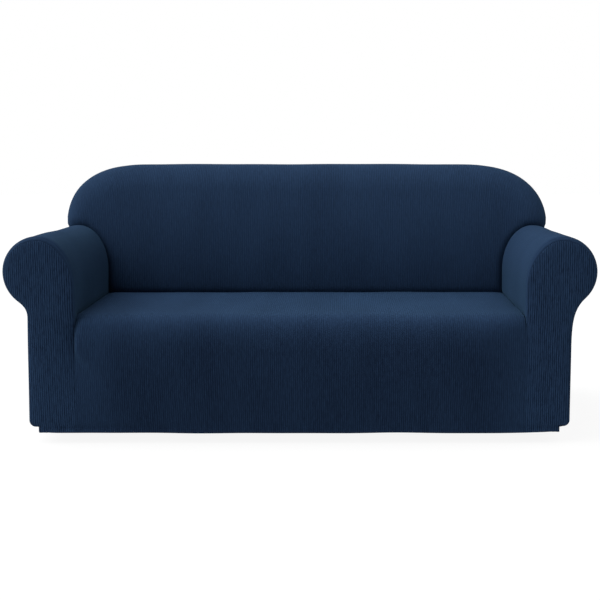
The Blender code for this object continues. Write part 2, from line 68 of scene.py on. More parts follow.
arm = {
    "inX": 0.753,
    "rollX": 0.870,
    "rollR": 0.1215,
    "innerRise": 0.165,  # the roll is taller than wide on its inner side
    "topZ": 0.7023,
    "topSlope": -0.0237,
    "frontR": 0.022,
    "frontTurn": 20.0,  # degrees of the front's rounding that the front panel takes over
    "frontSwell": 0.0075,
    "frontReach": 0.020,
    "foldBack": 0.100,  # how far behind the face the fold beside the seat draws the wrap back
    "rearR": 0.026,
    "rearRows": 8.0,  # rows below the ear's corner over which the rear's rounding begins
    "creaseX": 0.004,
    "quadrantCrease": 0.002,  # added to creaseX over the inner quadrant
    "crestCrease": 0.005,
    "creaseFade": 0.25,  # share of the outer roll over which its crease with the ear fades
    "wallShare": 0.3,  # shares of the front's rounding that the parts of the section take, first to last
    "crestShare": 1.0,
    "crestBy": 0.7,  # share of the inner quadrant that ends with the crest's rounding
    "outerShare": (0.95, 0.75),
    "neckShare": (0.75, 0.60),
    "sideShare": (0.60, 0.50),
    "cornerShare": (0.50, 0.35),
    "stripShare": 0.25,
}

back = {
    "faceY": 0.586,
    "seatZ": 0.4375,
    "lean": 0.080,
    "curve": 0.600,  # how fast the lean grows, for each metre up
    "topZ": 0.9145,
    "flatX": 0.628,
    "cornerRise": 0.224,
    "edgeReach": 0.090,
    "edgeDepth": 0.055,
    "creaseY": 0.010,
    "footRise": 0.012,
}

seat = {
    "sideZ": 0.431,
    "frontY": -0.034,
    "hemY": -0.002,
    "noseY": 0.062,
    "noseRise": 0.165,
    "nosePower": 2.7,  # above 2 the edge of the seat turns tighter
    "seamTurn": 0.050,
    "groove": 0.045,
    "creaseZ": 0.010,
    "crown": 0.12,  # share of the swell that is one parabola over the whole width
    "lowTop": 0.34,  # height at which the edge's reach begins to change to seatEdgeLow
    "lowReach": 0.16,
    "dropEnd": 0.03,
    "foldFull": (0.38, 0.37),  # heights between which the fold beside the seat is deepest
}

# the two arms differ a little, as the cloth sits on them
sides = {
    "left": {
        "sign": -1.0, "outX": 0.9113, "flare": 0.0091, "corner": 0.024,
        "neckAngle": -54.0, "neckZ": 0.428, "neckPull": (0.025, 0.026), "stripX": 0.888, "seamEndZ": 0.360,
        "fold": 0.017, "foldTop": 0.47, "foldEnd": 0.12, "foldReach": 0.130,
        "seatEdge": 0.013, "seatEdgeLow": 0.200, "backPower": 2.52, "earX": 0.929,
    },
    "right": {
        "sign": 1.0, "outX": 0.9130, "flare": 0.0020, "corner": 0.024,
        "neckAngle": -46.0, "neckZ": 0.337, "neckPull": (0.049, 0.080), "stripX": 0.881, "seamEndZ": 0.395,
        "fold": 0.002, "foldTop": 0.44, "foldEnd": 0.30, "foldReach": 0.060,
        "seatEdge": 0.180, "seatEdgeLow": 0.200, "backPower": 2.31, "earX": 0.937,
    },
}

# cells of the arm's section from the seat's seam over the roll to the hem, then the other ways
cells = {
    "wall": 9, "quadrant": 16, "crest": 6, "outer": 26, "neck": 10, "side": 18, "corner": 8, "strip": 8,
    "round": 8, "along": 26, "edge": 12, "top": 7, "ear": 12, "near": 12, "middle": 64, "nose": 10,
}
faceRow = cells["wall"] + cells["quadrant"]
earRow = faceRow + cells["crest"]
lastRow = earRow + sum(cells[part] for part in ("outer", "neck", "side", "corner", "strip"))

# rows between which the arm's face takes the roll as its top side, and beyond which as its sides
frontFirst = cells["wall"] + round(0.6 * cells["quadrant"])
frontLast = earRow + round(0.25 * cells["outer"])

# how cells close up: the wall's towards the seat, and a wide panel's near its sides
spread = {"wall": 1.3, "near": 0.055, "nearPower": 1.6}


def dip(t):
    # rises from 0 to 1 as the square does, so a crease stays open
    return np.clip(t, 0.0, 1.0) ** 2


def ease(t):
    # rises from 0 to 1 with both ends level
    t = np.clip(t, 0.0, 1.0)
    return t * t * (3.0 - 2.0 * t)


def turn(count):
    # even angles over a quarter turn
    return np.linspace(0.0, np.pi / 2, count + 1)


def backFace(z):
    # the back's face is a slack parabola that leans back more and more towards the top
    rise = z - back["seatZ"]
    return back["faceY"] + back["lean"] * rise + back["curve"] * rise * np.abs(rise)


def blend(ends, t):
    # a straight line from the first value to the last
    return ends[0] + (ends[1] - ends[0]) * t


def rollTop(y):
    # the roll's top is a straight line that sinks a little towards the back
    return arm["topZ"] + arm["topSlope"] * y


def edgeProfile():
    # across the back's edge: a quarter ellipse from its face, a level run, a quarter circle at the rear
    angle, rear = turn(cells["edge"]), turn(cells["round"])[::-1]
    reach = np.concatenate([
        back["edgeReach"] * (1.0 - np.sin(angle)),
        np.zeros(cells["top"] - 1),
        arm["rearR"] * (1.0 - np.sin(rear)),
    ])
    depth = np.concatenate([
        back["edgeDepth"] * (1.0 - np.cos(angle)),
        np.full(cells["top"] + cells["round"], back["edgeDepth"]),
    ])
    run = np.concatenate([
        np.zeros(cells["edge"] + 1),
        np.linspace(0.0, 1.0, cells["top"] + 1)[1:-1],
        np.ones(cells["round"] + 1),
    ])
    past = np.concatenate([np.zeros(cells["edge"] + cells["top"]), arm["rearR"] * np.cos(rear)])
    return reach, depth, run, past


def edgeY(z):
    # depth of each station of the edge's profile, where the rim stands at height z
    _, depth, run, past = edgeProfile()
    rim = backFace(z) + depth
    return rim + run * (cover["rearY"] - arm["rearR"] - rim) + past


def edgePinch():
    # the ear is drawn in at its foot: a step along the inward normal at each station of the profile
    reach = edgeProfile()[0]
    footZ = np.full(len(reach), back["topZ"] - back["cornerRise"])
    outX, outY = np.gradient(-reach), np.gradient(edgeY(footZ))
    length = np.hypot(outX, outY)
    inX, inY = outY / length, outX / length
    inX[0], inY[0], inX[-1], inY[-1] = 0.0, 1.0, 0.0, -1.0
    return back["creaseY"] * inX, back["creaseY"] * inY


def earSeam(side):
    # the ear meets the roll where its rim comes down on the roll's circle
    pinchX, pinchY = edgePinch()
    x = sides[side]["earX"] - edgeProfile()[0] - pinchX
    z = rollTop(back["faceY"]) - arm["rollR"] + np.sqrt(arm["rollR"] ** 2 - (x - arm["rollX"]) ** 2)
    return x, edgeY(z) + pinchY


def seamHeight(side, y):
    # the seat's seam runs level along the inner arm and turns down at the front as a quarter ellipse
    endZ = sides[side]["seamEndZ"]
    turned = np.clip((seat["seamTurn"] - y) / seat["seamTurn"], 0.0, 1.0)
    return endZ + (seat["sideZ"] - endZ) * np.sqrt(1.0 - turned**2)


def foldDepth(side, z):
    # the fold beside the seat's front corner opens below the seat and fades out further down
    own = sides[side]
    high, low = seat["foldFull"]
    opened = ease((own["foldTop"] - z) / (own["foldTop"] - high))
    faded = ease((z - own["foldEnd"]) / (low - own["foldEnd"]))
    return own["fold"] * opened * faded


def tuck(x, z):
    # crease over the strip: bells along the width, one in height above it, half as deep below it
    bells = (deep * np.exp(-(((x - middle) / reach) ** 2)) for deep, middle, reach in cover["tuckBells"])
    depth = cover["tuckLeast"] + sum(bells)
    above = np.exp(-(((z - cover["stripTopZ"]) / cover["tuckAbove"]) ** 2))
    below = 1.0 - 0.5 * ease((cover["stripTopZ"] - z) / cover["tuckBelow"])
    return depth * np.where(z > cover["stripTopZ"], above, below)


def faceDepth(side, rim, x, z):
    # Y of the arm's face: it swells away from its rim by an exponential, with the fold beside the seat
    own = sides[side]
    off = np.hypot(x[..., None] - rim[:, 0], z[..., None] - rim[:, 2]).min(axis=-1)
    swollen = arm["frontSwell"] * (1.0 - np.exp(-off / arm["frontReach"]))
    beside = np.abs(x) - abs(rim[0, 0])
    fold = foldDepth(side, z) * dip(1.0 - beside / own["foldReach"])
    return rim[0, 1] - foldDepth(side, rim[0, 2]) - swollen + fold + tuck(x, z)


def stripPath():
    # heights and inward reach of the strip: straight down, a small round at the hem, then level inward
    radius = cover["hemRound"]
    angle = turn(3)[1:]
    down = np.linspace(cover["stripTopZ"], cover["hemZ"] + radius, 3)
    z = np.concatenate([down, cover["hemZ"] + radius * (1.0 - np.sin(angle)), np.full(2, cover["hemZ"])])
    reach = np.concatenate([
        np.zeros(3),
        radius * (1.0 - np.cos(angle)),
        cover["hemTurn"] * np.array([0.5, 1.0]),
    ])
    return z, reach


def armSection(side, y, earX):
    # X and Z of the right arm's section at each row and column, with each row's share of the front
    # rounding and the depth of its crease with the back
    own = sides[side]
    top = rollTop(y)
    xs, zs, shares, creases = [], [], [], []

    def add(x, z, share, crease):
        shape = np.broadcast_shapes(np.shape(z), np.shape(x))
        for store, value in zip((xs, zs, shares, creases), (x, z, share, crease)):
            store.append(np.broadcast_to(value, shape))
        return sum(len(part) for part in xs)

    # inner wall, drawn in at the seat's seam
    t = (np.arange(cells["wall"]) / cells["wall"])[:, None] ** spread["wall"]
    low, high = seamHeight(side, y[: cells["wall"]]), top[: cells["wall"]] - arm["innerRise"]
    z = low + (high - low) * t
    above = ease((z - low) / cover["crease"])
    x = arm["inX"] + arm["creaseX"] * dip(1.0 - (z - low) / cover["crease"])
    row = add(x, z, arm["wallShare"] * above, arm["creaseX"] * above)

    # inner quadrant, an ellipse taller than it is wide
    last = np.arccos((earSeam(side)[0][0] - arm["rollX"]) / (arm["inX"] - arm["rollX"]))
    t = np.linspace(0.0, 1.0, cells["quadrant"] + 1)[:, None]
    x = arm["rollX"] + (arm["inX"] - arm["rollX"]) * np.cos(last * t)
    z = top[row : row + len(t)] - arm["innerRise"] * (1.0 - np.sin(last * t))
    share = blend((arm["wallShare"], arm["crestShare"]), ease(t / arm["crestBy"]))
    row = add(x, z, share, arm["creaseX"] + arm["quadrantCrease"] * ease(2.0 * t))

    # crest, where the ear's front corner stands
    cornerX = earSeam(side)[0][1 : cells["crest"], None]
    span = top[row : row + cells["crest"]]
    x = np.vstack([np.broadcast_to(cornerX, span[1:].shape), earX[earRow : earRow + 1]])
    z = span - arm["rollR"] + np.sqrt(arm["rollR"] ** 2 - (x - arm["rollX"]) ** 2)
    row = add(x, z, arm["crestShare"], arm["crestCrease"])

    # outer roll, part of a circle down to the neck
    t = (np.arange(1, cells["outer"] + 1) / cells["outer"])[:, None]
    start = np.arccos((earX[row - 1] - arm["rollX"]) / arm["rollR"])
    end = np.radians(own["neckAngle"])
    angle = start + (end - start) * t
    middle = top[row : row + cells["outer"]] - arm["rollR"]
    x = arm["rollX"] + arm["rollR"] * np.cos(angle)
    z = middle + arm["rollR"] * np.sin(angle)
    faded = 1.0 - ease(t / arm["creaseFade"])
    add(x, z, blend(arm["outerShare"], t), arm["crestCrease"] * faded)

    # neck, a Bezier curve from the roll to the upright side
    t = (np.arange(1, cells["neck"] + 1) / cells["neck"])[:, None]
    first, second = own["neckPull"]
    startX, startZ = arm["rollX"] + arm["rollR"] * np.cos(end), middle[:1] + arm["rollR"] * np.sin(end)
    points = (
        (startX, startZ),
        (startX + first * np.sin(end), startZ - first * np.cos(end)),
        (own["outX"], own["neckZ"] + second),
        (own["outX"], own["neckZ"]),
    )
    weights = ((1 - t) ** 3, 3 * t * (1 - t) ** 2, 3 * t**2 * (1 - t), t**3)
    x = sum(w * p[0] for w, p in zip(weights, points))
    z = sum(w * p[1] for w, p in zip(weights, points))
    add(x, z, blend(arm["neckShare"], t), 0.0)

    # upright side
    t = (np.arange(1, cells["side"] + 1) / cells["side"])[:, None]
    foot = cover["bodyBottomZ"] + own["corner"]
    z = own["neckZ"] + (foot - own["neckZ"]) * t + 0.0 * y[:1]
    add(own["outX"] + own["flare"] * t, z, blend(arm["sideShare"], t), 0.0)

    # bottom corner, a quarter circle
    angle = turn(cells["corner"])[1:, None]
    x = own["outX"] + own["flare"] - own["corner"] * (1.0 - np.cos(angle))
    z = foot - own["corner"] * np.sin(angle) + 0.0 * y[:1]
    add(x, z, blend(arm["cornerShare"], angle / (np.pi / 2)), 0.0)

    # strip, hem and the cloth turned under
    z, reach = stripPath()
    add(own["stripX"] - reach[:, None], z[:, None] + 0.0 * y[:1], arm["stripShare"], 0.0)

    return tuple(np.vstack(part) for part in (xs, zs, shares, creases))


def armPoints(side, y, earX, front, rear, crease):
    # the section's rows move inward at right angles to it, by their shares of the rounding and crease
    x, z, frontRows, creaseRows = armSection(side, y, earX)
    alongX, alongZ = np.gradient(x, axis=0), np.gradient(z, axis=0)
    length = np.hypot(alongX, alongZ)
    inX, inZ = alongZ / length, -alongX / length
    inX[0], inZ[0] = 1.0, 0.0
    inX[-cells["strip"] :], inZ[-cells["strip"] :] = -1.0, 0.0
    rearRows = frontRows * ease((np.arange(len(y)) - earRow) / arm["rearRows"])[:, None]
    amount = arm["frontR"] * frontRows * front + arm["rearR"] * rearRows * rear + creaseRows * crease
    return np.stack([x + inX * amount, y, z + inZ * amount], axis=-1)


def armRowEnds(side):
    # Y where each row of the section meets the back
    seamX, seamY = earSeam(side)
    atBack = np.full((lastRow + 1, 1), back["faceY"])
    z = armSection(side, atBack, np.full((lastRow + 1, 1), seamX[cells["crest"]]))[1][:, 0]
    end = backFace(z) + back["creaseY"]
    end[0] = backFace(seat["sideZ"]) + back["creaseY"]
    end[faceRow : earRow + 1] = seamY[: cells["crest"] + 1]
    end[earRow:] = seamY[cells["crest"]]
    return end[:, None]


def armGrids(side):
    # the arm's outer face: a part inside the ear's corner, and a part outside it
    rows = lastRow + 1
    seamX, seamY = earSeam(side)
    frontTurn = np.linspace(np.radians(arm["frontTurn"]), np.pi / 2, cells["round"] + 1)
    rearTurn = turn(cells["round"])
    end = armRowEnds(side)
    t = np.arange(1, cells["along"] + 1) / cells["along"]
    near = np.arange(1, cells["round"] + 1) / cells["round"]
    y = np.hstack([
        np.broadcast_to(arm["frontR"] * (1.0 - np.cos(frontTurn)), (rows, len(frontTurn))),
        arm["frontR"] + (end - cover["crease"] - arm["frontR"]) * t,
        end - cover["crease"] * (1.0 - near),
    ])
    columns = y.shape[1]
    front = np.zeros(columns)
    front[: len(frontTurn)] = 1.0 - np.sin(frontTurn)
    crease = np.zeros(columns)
    crease[-len(near) :] = dip(near)
    earX = np.full(y.shape, seamX[cells["crest"]])
    inside = armPoints(side, y, earX, front, 0.0 * front, crease)
    nearFront = ease(1.0 - y / arm["foldBack"])
    inside[..., 1] += foldDepth(side, inside[..., 2]) * nearFront * (inside[..., 0] < arm["rollX"])

    # beyond the ear's corner the columns follow its seam to the rear edge
    beyond = seamY[cells["crest"] + 1 :]
    y = np.hstack([y[earRow], beyond]) + np.zeros((rows, 1))
    earX = np.hstack([earX, np.broadcast_to(seamX[cells["crest"] + 1 :], (rows, len(beyond)))])
    rear = np.zeros(columns + len(beyond))
    rear[-len(rearTurn) :] = 1.0 - np.sin(rearTurn[::-1])
    front = np.concatenate([front, np.zeros(len(beyond))])
    crease = np.concatenate([crease, np.ones(len(beyond))])
    outside = armPoints(side, y, earX, front, rear, crease)[earRow:]
    outside[0, :columns] = inside[earRow]

    # the cloth turned under is drawn in from both ends too
    reach = stripPath()[1]
    share = reach[:, None] / cover["rearY"]
    low = outside[-cells["strip"] :]
    low[..., 1] = reach[:, None] + low[..., 1] * (1.0 - 2.0 * share)

    mirror = np.array([sides[side]["sign"], 1.0, 1.0])
    return inside[: earRow + 1] * mirror, outside * mirror


def across():
    # shares of the way over a wide panel, with columns close together near its sides
    near = spread["near"] * (np.arange(cells["near"] + 1) / cells["near"]) ** spread["nearPower"]
    middle = np.linspace(near[-1], 1.0 - near[-1], cells["middle"] + 1)[1:-1]
    return np.concatenate([near, middle, 1.0 - near[::-1]])


def filled(first, last, low, high, reach=4):
    # grid between four curves: a straight blend of first and last, bent to low and high near them
    shares = np.linalg.norm(low - low[0], axis=1) / np.linalg.norm(low[-1] - low[0])
    s = shares[None, :, None]
    t = np.linspace(0.0, 1.0, len(first))[:, None, None]
    grid = (1 - s) * first[:, None] + s * last[:, None]
    lowBend = low - ((1 - s[0]) * low[0] + s[0] * low[-1])
    highBend = high - ((1 - s[0]) * high[0] + s[0] * high[-1])
    return grid + (1 - t) ** reach * lowBend + t**reach * highBend


def apronSide(side, inside, outside):
    # the seam between the seat's drop and the arm's face, from the seat's seam to the hem
    rim = np.vstack([inside[:, 0], outside[:, 0]])
    start = rim[0]
    count = lastRow - frontLast - frontFirst - cells["strip"]
    stripZ, reach = stripPath()
    z = np.concatenate([np.linspace(start[2], cover["stripTopZ"], count + 2)[:-1], stripZ])
    x = np.full_like(z, start[0])
    y = faceDepth(side, rim, x, z)
    y[-cells["strip"] :] += reach
    y[0] = start[1]
    return np.stack([x, y, z], axis=-1)


def armFront(side, inside, outside, apron):
    # scroll-shaped face: rows run from its inner seam to its outer one, and it swells a little
    rim = np.vstack([inside[:, 0], outside[:, 0]])
    inner = np.vstack([apron[::-1], inside[1 : frontFirst + 1, 0]])
    outer = outside[::-1, 0][: len(inner)]
    over = np.vstack([inside[frontFirst:, 0], outside[1 : frontLast - earRow + 1, 0]])
    along = np.linspace(0.0, 1.0, len(over))[:, None]
    under = inner[0] + (outer[0] - inner[0]) * along
    grid = filled(inner, outer, under, over)
    y = faceDepth(side, rim, grid[..., 0], grid[..., 2])
    y[: cells["strip"]] += stripPath()[1][::-1, None]
    middle = (slice(1, -1), slice(1, -1))
    grid[middle][..., 1] = y[middle]
    return grid


def seatApron(left, right, leftApron, rightApron):
    # deck and front drop in one piece: the side seams' curve at the edges, the middle profile between
    curves = [np.vstack([one[0, ::-1], low[1:]]) for one, low in ((left, leftApron), (right, rightApron))]
    deckRows = left.shape[1]
    ySide, zSide = curves[0][:, 1], curves[0][:, 2]
    stripRow = len(ySide) - cells["strip"]

    # middle profile: level deck, superellipse nose, then the drop
    start = int(np.argmax(ySide < seat["seamTurn"])) - 1
    end = deckRows - 1 + cells["nose"]
    level = ySide[:start] + (seat["noseY"] - seat["seamTurn"]) * ease(np.arange(start) / start)
    angle = np.linspace(0.0, np.pi / 2, end - start + 1)
    power = 2.0 / seat["nosePower"]
    noseY = seat["frontY"] + (seat["noseY"] - seat["frontY"]) * (1.0 - np.sin(angle) ** power)
    noseZ = back["seatZ"] - seat["noseRise"] * (1.0 - np.cos(angle) ** power)
    dropZ = np.linspace(noseZ[-1], cover["stripTopZ"], stripRow - end + 1)[1:]
    hung = ease((dropZ - seat["dropEnd"]) / (noseZ[-1] - seat["dropEnd"]))
    dropY = seat["hemY"] + (seat["frontY"] - seat["hemY"]) * hung
    stripZ, reach = stripPath()
    middleY = np.concatenate([level, noseY, dropY, dropY[-1] + reach[1:]])
    middleZ = np.concatenate([np.full(start, back["seatZ"]), noseZ, dropZ, stripZ[1:]])
    fromBack = ySide[0] - ySide
    middleZ -= seat["creaseZ"] * dip(1.0 - fromBack / cover["crease"]) * (np.arange(len(ySide)) < deckRows)

    u = across()[None, :]
    edges = np.stack([curve[:, 0] for curve in curves])
    x = (1 - u) * edges[0][:, None] + u * edges[1][:, None]
    width = (edges[1] - edges[0])[:, None]
    drop = ease((np.arange(len(ySide)) - start) / (end - start))[:, None]
    low = ease((seat["lowTop"] - middleZ) / seat["lowReach"])[:, None]
    dipped = 0.0
    for own, off in ((sides["left"], u * width), (sides["right"], (1.0 - u) * width)):
        reachHere = own["seatEdge"] + (own["seatEdgeLow"] - own["seatEdge"]) * low
        reachHere = seat["groove"] + (reachHere - seat["groove"]) * drop
        dipped = np.maximum(dipped, dip(1.0 - off / reachHere))
    off = np.minimum(u, 1.0 - u) * width
    swell = (1.0 - seat["crown"]) * (1.0 - dipped) + seat["crown"] * 4 * u * (1 - u)
    swell = np.where(off > 0, swell, 0.0)
    grid = np.empty(x.shape + (3,))
    grid[..., 0] = x
    for axis, middle in ((1, middleY), (2, middleZ)):
        edge = (1 - u) * curves[0][:, axis, None] + u * curves[1][:, axis, None]
        grid[..., axis] = edge + (middle[:, None] - edge) * swell
    below = np.arange(len(ySide))[:, None] > end
    grid[..., 1] += below * tuck(x, grid[..., 2]) * swell
    return grid


def backCorner(side):
    # superellipse: an exponent over 2 makes the corner fuller than an ellipse
    power = sides[side]["backPower"]
    ear = np.linspace(0.0, 45.0, cells["ear"])
    corner = 45.0 + 45.0 * np.linspace(0.0, 1.0, cells["near"] + 1)
    angle = np.radians(np.concatenate([ear, corner[1:]]))
    width = sides[side]["earX"] - back["flatX"]
    over, up = np.cos(angle) ** (2.0 / power), np.sin(angle) ** (2.0 / power)
    x = back["flatX"] + width * over
    z = back["topZ"] - back["cornerRise"] * (1.0 - up)
    normal = np.stack([over ** (power - 1) / width, up ** (power - 1) / back["cornerRise"]])
    return x, z, normal / np.hypot(*normal)


def outline():
    # the back's outline from the left ear over the top, as X, Z and outward normal
    leftX, leftZ, leftNormal = backCorner("left")
    rightX, rightZ, rightNormal = backCorner("right")
    flat = np.linspace(-back["flatX"], back["flatX"], cells["middle"] + 1)[1:-1]
    x = np.concatenate([-leftX, flat, rightX[::-1]])
    z = np.concatenate([leftZ, np.full(len(flat), back["topZ"]), rightZ[::-1]])
    normalX = np.concatenate([-leftNormal[0], np.zeros(len(flat)), rightNormal[0][::-1]])
    normalZ = np.concatenate([leftNormal[1], np.ones(len(flat)), rightNormal[1][::-1]])
    return x, z, normalX, normalZ


def backEdge(left, right):
    # the edge of the back: its profile swept along the outline from ear to ear
    x, z, normalX, normalZ = (part[:, None] for part in outline())
    reach = edgeProfile()[0][None, :]
    z = z - normalZ * reach
    foot = dip(1.0 - (z - z[:1] + back["footRise"]) / cover["crease"])
    pinchX, pinchY = edgePinch()
    arch = np.stack([x - normalX * (reach + pinchX * foot), edgeY(z) + pinchY * foot, z], axis=-1)
    ends = []
    for inside, outside in (left, right):
        first = inside[faceRow : earRow + 1, -1]
        ends.append(np.vstack([first, outside[0, inside.shape[1] :]]))
    return np.concatenate([ends[0][None], arch, ends[1][None]])


def refined(curve, parts=6):
    # the same curve with more points
    place = np.arange(len(curve))
    finer = np.linspace(0, len(curve) - 1, parts * (len(curve) - 1) + 1)
    return np.stack([np.interp(finer, place, curve[:, axis]) for axis in range(3)], axis=-1)


def insideBack(left, right, edge, deck):
    # the back's face dips into the creases beside the arms, by the distance to them, and over the seat
    first = np.vstack([left[0][: faceRow + 1, -1], edge[1 : cells["ear"] + 1, 0]])
    last = np.vstack([right[0][: faceRow + 1, -1], edge[::-1][1 : cells["ear"] + 1, 0]])
    over = edge[cells["ear"] : len(edge) - cells["ear"], 0]
    grid = filled(first, last, deck[0], over, reach=2)
    x, z = grid[..., 0], grid[..., 2]
    seams = np.vstack([refined(one[: faceRow + 1]) for one in (first, last)])
    off = np.full(x.shape, np.inf)
    for seamX, _, seamZ in seams:
        off = np.minimum(off, np.hypot(x - seamX, z - seamZ))
    crease = np.maximum(dip(1.0 - off / cover["crease"]), dip(1.0 - (z - z[:1]) / cover["crease"]))
    y = backFace(z) + back["creaseY"] * crease
    middle = (slice(1, -1), slice(1, -1))
    grid[middle][..., 1] = y[middle]
    return grid


def outsideBack(left, right, edge):
    # flat rear panel, from the rear edge of the back down to the hem
    top = edge[cells["ear"] : len(edge) - cells["ear"], -1]
    first = np.vstack([left[1][::-1, -1], edge[1 : cells["ear"] + 1, -1]])
    last = np.vstack([right[1][::-1, -1], edge[::-1][1 : cells["ear"] + 1, -1]])
    bottom = first[0] + (last[0] - first[0]) * across()[:, None]
    return filled(first, last, bottom, top)


def cellList(rows, columns):
    # four corners of each cell of a grid, by their places in its list of points
    index = np.arange(rows * columns).reshape(rows, columns)
    return np.stack([index[:-1, :-1], index[:-1, 1:], index[1:, 1:], index[1:, :-1]], axis=-1).reshape(-1, 4)


def cellNormals(points, faces):
    # cross product of each cell's diagonals
    a, b, c, d = (points[faces[:, n]] for n in range(4))
    return np.cross(c - a, d - b)


def welded(grids, outward):
    # joins the grids of one panel, each turned to face the direction given for it
    points, faces, start = [], [], 0
    for grid, hint in zip(grids, outward):
        flat = grid.reshape(-1, 3)
        own = cellList(*grid.shape[:2])
        if cellNormals(flat, own).sum(axis=0) @ np.array(hint) < 0:
            own = own[:, ::-1]
        points.append(flat)
        faces.append(own + start)
        start += len(flat)
    points, faces = np.vstack(points), np.vstack(faces)
    _, first, same = np.unique(np.round(points, 6), axis=0, return_index=True, return_inverse=True)
    return points[first], same.reshape(-1)[faces]


def sharedSteps(panels):
    # outward step at each point that clears every cell around it by one thickness: normal . step = 1
    # by least squares over the cells of all panels that meet there, with a little damping
    everywhere = np.vstack([points for points, _ in panels.values()])
    _, same = np.unique(np.round(everywhere, 6), axis=0, return_inverse=True)
    same = same.reshape(-1)
    pairs = np.tile(cover["stepDamping"] * np.eye(3), (same.max() + 1, 1, 1))
    total = np.zeros((same.max() + 1, 3))
    start = 0
    for points, faces in panels.values():
        normals = cellNormals(points, faces)
        normals /= np.linalg.norm(normals, axis=1)[:, None]
        for corner in range(4):
            here = same[start + faces[:, corner]]
            np.add.at(total, here, normals)
            np.add.at(pairs, here, normals[:, :, None] * normals[:, None, :])
        start += len(points)
    steps = np.linalg.solve(pairs, total[:, :, None])[same, :, 0]
    ends = np.cumsum([len(points) for points, _ in panels.values()])[:-1]
    return dict(zip(panels, np.split(steps, ends)))


left, right = armGrids("left"), armGrids("right")
leftApron, rightApron = apronSide("left", *left), apronSide("right", *right)
deck = seatApron(left[0], right[0], leftApron, rightApron)
edge = backEdge(left, right)
panels = {
    "inside_back": welded((insideBack(left, right, edge, deck), edge), ((0, -1, 0), (0, -0.3, 1))),
    "outside_back": welded((outsideBack(left, right, edge),), ((0, 1, 0),)),
    "seat_apron": welded((deck,), ((0, -1, 1),)),
    "arm_wrap_left": welded(left, ((1, 0, 1), (-1, 0, 0.2))),
    "arm_wrap_right": welded(right, ((-1, 0, 1), (1, 0, 0.2))),
    "arm_front_left": welded((armFront("left", *left, leftApron),), ((0, -1, 0),)),
    "arm_front_right": welded((armFront("right", *right, rightApron),), ((0, -1, 0),)),
}
steps = sharedSteps(panels)
print("panel surfaces worked out:", {name: len(faces) for name, (_, faces) in panels.items()})


# how the cloth sits: slow waves, and the rolled lips of the seams
drape = {
    "waves": 9, "height": 0.0004, "longest": 0.70, "shortest": 0.22, "seed": 4,
    "lipReach": (0.0, 0.0006, 0.0015), "lipDepth": (0.0006, 0.00018, 0.0),
    "flatSeamNear": 0.008,  # distance from the seam beside the seat's drop within which points are its own
    "flatSeamFront": 0.012,
    "flatBelow": (0.310, 0.375),  # height on the left and on the right
    "flatShare": 0.12,
    "flatFade": 0.020,
}


def slowWaves(points):
    # a sum of plane sine waves of chosen length and seeded direction, alike on both sides of a seam
    rng = np.random.default_rng(drape["seed"])
    lengths = np.geomspace(drape["longest"], drape["shortest"], drape["waves"])
    total = np.zeros(len(points))
    for length in lengths:
        direction = rng.normal(size=3)
        direction *= 2.0 * np.pi / (length * np.linalg.norm(direction))
        total += drape["height"] * np.sin(points @ direction + rng.uniform(0.0, 2.0 * np.pi))
    return total


def knitCoordinates(name, points):
    # metres across the ribs and along them
    x, y, z = points.T
    if name.startswith("arm_wrap"):
        # ribs run round the section: along them, the roll's angle between two upright walls
        out = np.abs(x) - arm["rollX"]
        up = z - (rollTop(y) - arm["rollR"])
        angle = np.arctan2(np.maximum(up, 0.0), out)
        below = np.minimum(up, 0.0) * np.where(out < 0, -1.0, 1.0)
        return np.stack([y, arm["rollR"] * angle + below], axis=-1)
    if name == "seat_apron":
        return np.stack([x, y + z], axis=-1)
    if name == "inside_back":
        # beside the ears the ribs stay upright, so depth counts as width there
        width = sides["left"]["earX"] - back["flatX"]
        outX = np.maximum(np.abs(x) - back["flatX"], 0.0) / width**2
        outZ = np.maximum(z - back["topZ"] + back["cornerRise"], 0.0) / back["cornerRise"] ** 2
        sideways = outX / np.maximum(np.hypot(outX, outZ), 1e-6) * (outX > 0)
        behind = np.maximum(y - backFace(z), 0.0)
        return np.stack([x + np.sign(x) * sideways * behind, z + (1.0 - sideways) * behind], axis=-1)
    return np.stack([x, z], axis=-1)


def rimEdges(faces):
    # edges that only one cell has, each in its cell's direction, and the cells that own them
    edges = np.concatenate([faces[:, [n, (n + 1) % 4]] for n in range(4)])
    _, first, count = np.unique(np.sort(edges, axis=1), axis=0, return_index=True, return_counts=True)
    return edges[first[count == 1]], first[count == 1] % len(faces)


def lipShare(points):
    # the seams between the seat's drop and the arms' faces lie almost flat below the seat
    x, y, z = points.T
    onSeam = (np.abs(np.abs(x) - arm["inX"]) < drape["flatSeamNear"]) & (y < drape["flatSeamFront"])
    leftBelow, rightBelow = drape["flatBelow"]
    raised = ease((z - np.where(x > 0, rightBelow, leftBelow)) / drape["flatFade"])
    return np.where(onSeam, blend((drape["flatShare"], 1.0), raised), 1.0)[:, None]


